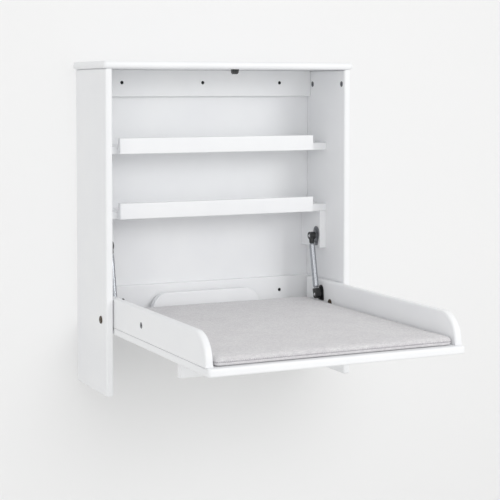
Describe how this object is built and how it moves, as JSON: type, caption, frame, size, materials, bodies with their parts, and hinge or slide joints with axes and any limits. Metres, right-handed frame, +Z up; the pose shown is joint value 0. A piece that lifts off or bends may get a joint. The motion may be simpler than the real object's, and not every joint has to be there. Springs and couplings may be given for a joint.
{
  "type": "changing table",
  "caption": "Wall-hung white cabinet with two lipped shelves and a fold-down changing tray on two gas struts, with a padded fabric mat between low side cheeks.",
  "frame": {"origin": "centre of the six-screw fixing pattern on the wall plane, which is the rear face of the back panel", "axes": "+Z up, +Y into the wall, +X to the right of someone who faces the cabinet; the open tray points along -Y"},
  "size_m": [0.672, 0.772, 0.7975],
  "materials": {
    "white_lacquer": "white sprayed satin lacquer on MDF board, arrises eased",
    "mat_fabric": "light grey melange woven cotton cover over foam",
    "plated_steel": "zinc-plated satin steel",
    "polished_chrome": "polished chrome",
    "zinc_casting": "die-cast zinc, dull",
    "black_steel": "black powder-coated or blackened steel",
    "dark_bronze": "dark bronze plated steel",
    "black_plastic": "moulded black nylon, fine satin"
  },
  "bodies": {
    "cabinet": {"left_side_panel": "white_lacquer", "right_side_panel": "white_lacquer", "top_panel": "white_lacquer", "back_panel": "white_lacquer", "upper_rail": "white_lacquer", "lower_rail": "white_lacquer", "upper_shelf": "white_lacquer", "lower_shelf": "white_lacquer", "upper_shelf_lip": "white_lacquer", "lower_shelf_lip": "white_lacquer", "left_strut_block": "white_lacquer", "right_strut_block": "white_lacquer", "closing_stop": "black_plastic", "left_front_cam": "zinc_casting", "left_rear_cam": "zinc_casting", "left_front_cam_bolt": "plated_steel", "left_rear_cam_bolt": "plated_steel", "right_front_cam": "zinc_casting", "right_rear_cam": "zinc_casting", "right_front_cam_bolt": "plated_steel", "right_rear_cam_bolt": "plated_steel", "upper_rail_screw_left": "black_steel", "upper_rail_screw_centre": "black_steel", "upper_rail_screw_right": "black_steel", "lower_rail_screw_left": "black_steel", "lower_rail_screw_centre": "black_steel", "lower_rail_screw_right": "black_steel", "left_pivot_bolt": "dark_bronze", "left_pivot_washer": "black_plastic", "left_pivot_nut": "dark_bronze", "left_upper_bracket": "zinc_casting", "right_pivot_bolt": "dark_bronze", "right_pivot_washer": "black_plastic", "right_pivot_nut": "dark_bronze", "right_upper_bracket": "zinc_casting"},
    "tray": {"tray_board": "white_lacquer", "left_cheek": "white_lacquer", "right_cheek": "white_lacquer", "end_stop": "white_lacquer", "grip_rail": "white_lacquer", "changing_mat": "mat_fabric", "left_cheek_cam": "zinc_casting", "left_cheek_cam_bolt": "plated_steel", "left_lower_bracket": "black_steel", "left_lower_stud": "polished_chrome", "right_cheek_cam": "zinc_casting", "right_cheek_cam_bolt": "plated_steel", "right_lower_bracket": "black_steel", "right_lower_stud": "polished_chrome"},
    "left_strut_rod_end": {"left_strut_rod": "polished_chrome", "left_lower_socket": "black_plastic"},
    "left_strut_tube_end": {"left_strut_tube": "plated_steel", "left_upper_socket": "black_plastic", "left_upper_stud": "polished_chrome"},
    "right_strut_rod_end": {"right_strut_rod": "polished_chrome", "right_lower_socket": "black_plastic"},
    "right_strut_tube_end": {"right_strut_tube": "plated_steel", "right_upper_socket": "black_plastic", "right_upper_stud": "polished_chrome"}
  },
  "joints": [
    {"name": "tray_fold", "type": "hinge", "parent": "cabinet", "child": "tray", "pos_m": [0, -0.18, -0.2932], "axis": [-1, 0, 0], "range_deg": [0, 90]},
    {"name": "left_strut_swing", "type": "hinge", "parent": "tray", "child": "left_strut_rod_end", "pos_m": [-0.278, -0.134, -0.2762], "axis": [-1, 0, 0], "range_deg": [-86.4, 0]},
    {"name": "left_strut_slide", "type": "slide", "parent": "left_strut_rod_end", "child": "left_strut_tube_end", "axis": [0, 0.1955, 0.9807], "range_m": [0, 0.069]},
    {"name": "right_strut_swing", "type": "hinge", "parent": "tray", "child": "right_strut_rod_end", "pos_m": [0.278, -0.134, -0.2762], "axis": [-1, 0, 0], "range_deg": [-86.4, 0]},
    {"name": "right_strut_slide", "type": "slide", "parent": "right_strut_rod_end", "child": "right_strut_tube_end", "axis": [0, 0.1955, 0.9807], "range_m": [0, 0.069]}
  ],
  "couplings": [
    {"joint": "left_strut_swing", "follows": "tray_fold", "ratio": -0.95361},
    {"joint": "left_strut_slide", "follows": "tray_fold", "m_per_rad": 0.043316},
    {"joint": "right_strut_swing", "follows": "tray_fold", "ratio": -0.95361},
    {"joint": "right_strut_slide", "follows": "tray_fold", "m_per_rad": 0.043316}
  ]
}
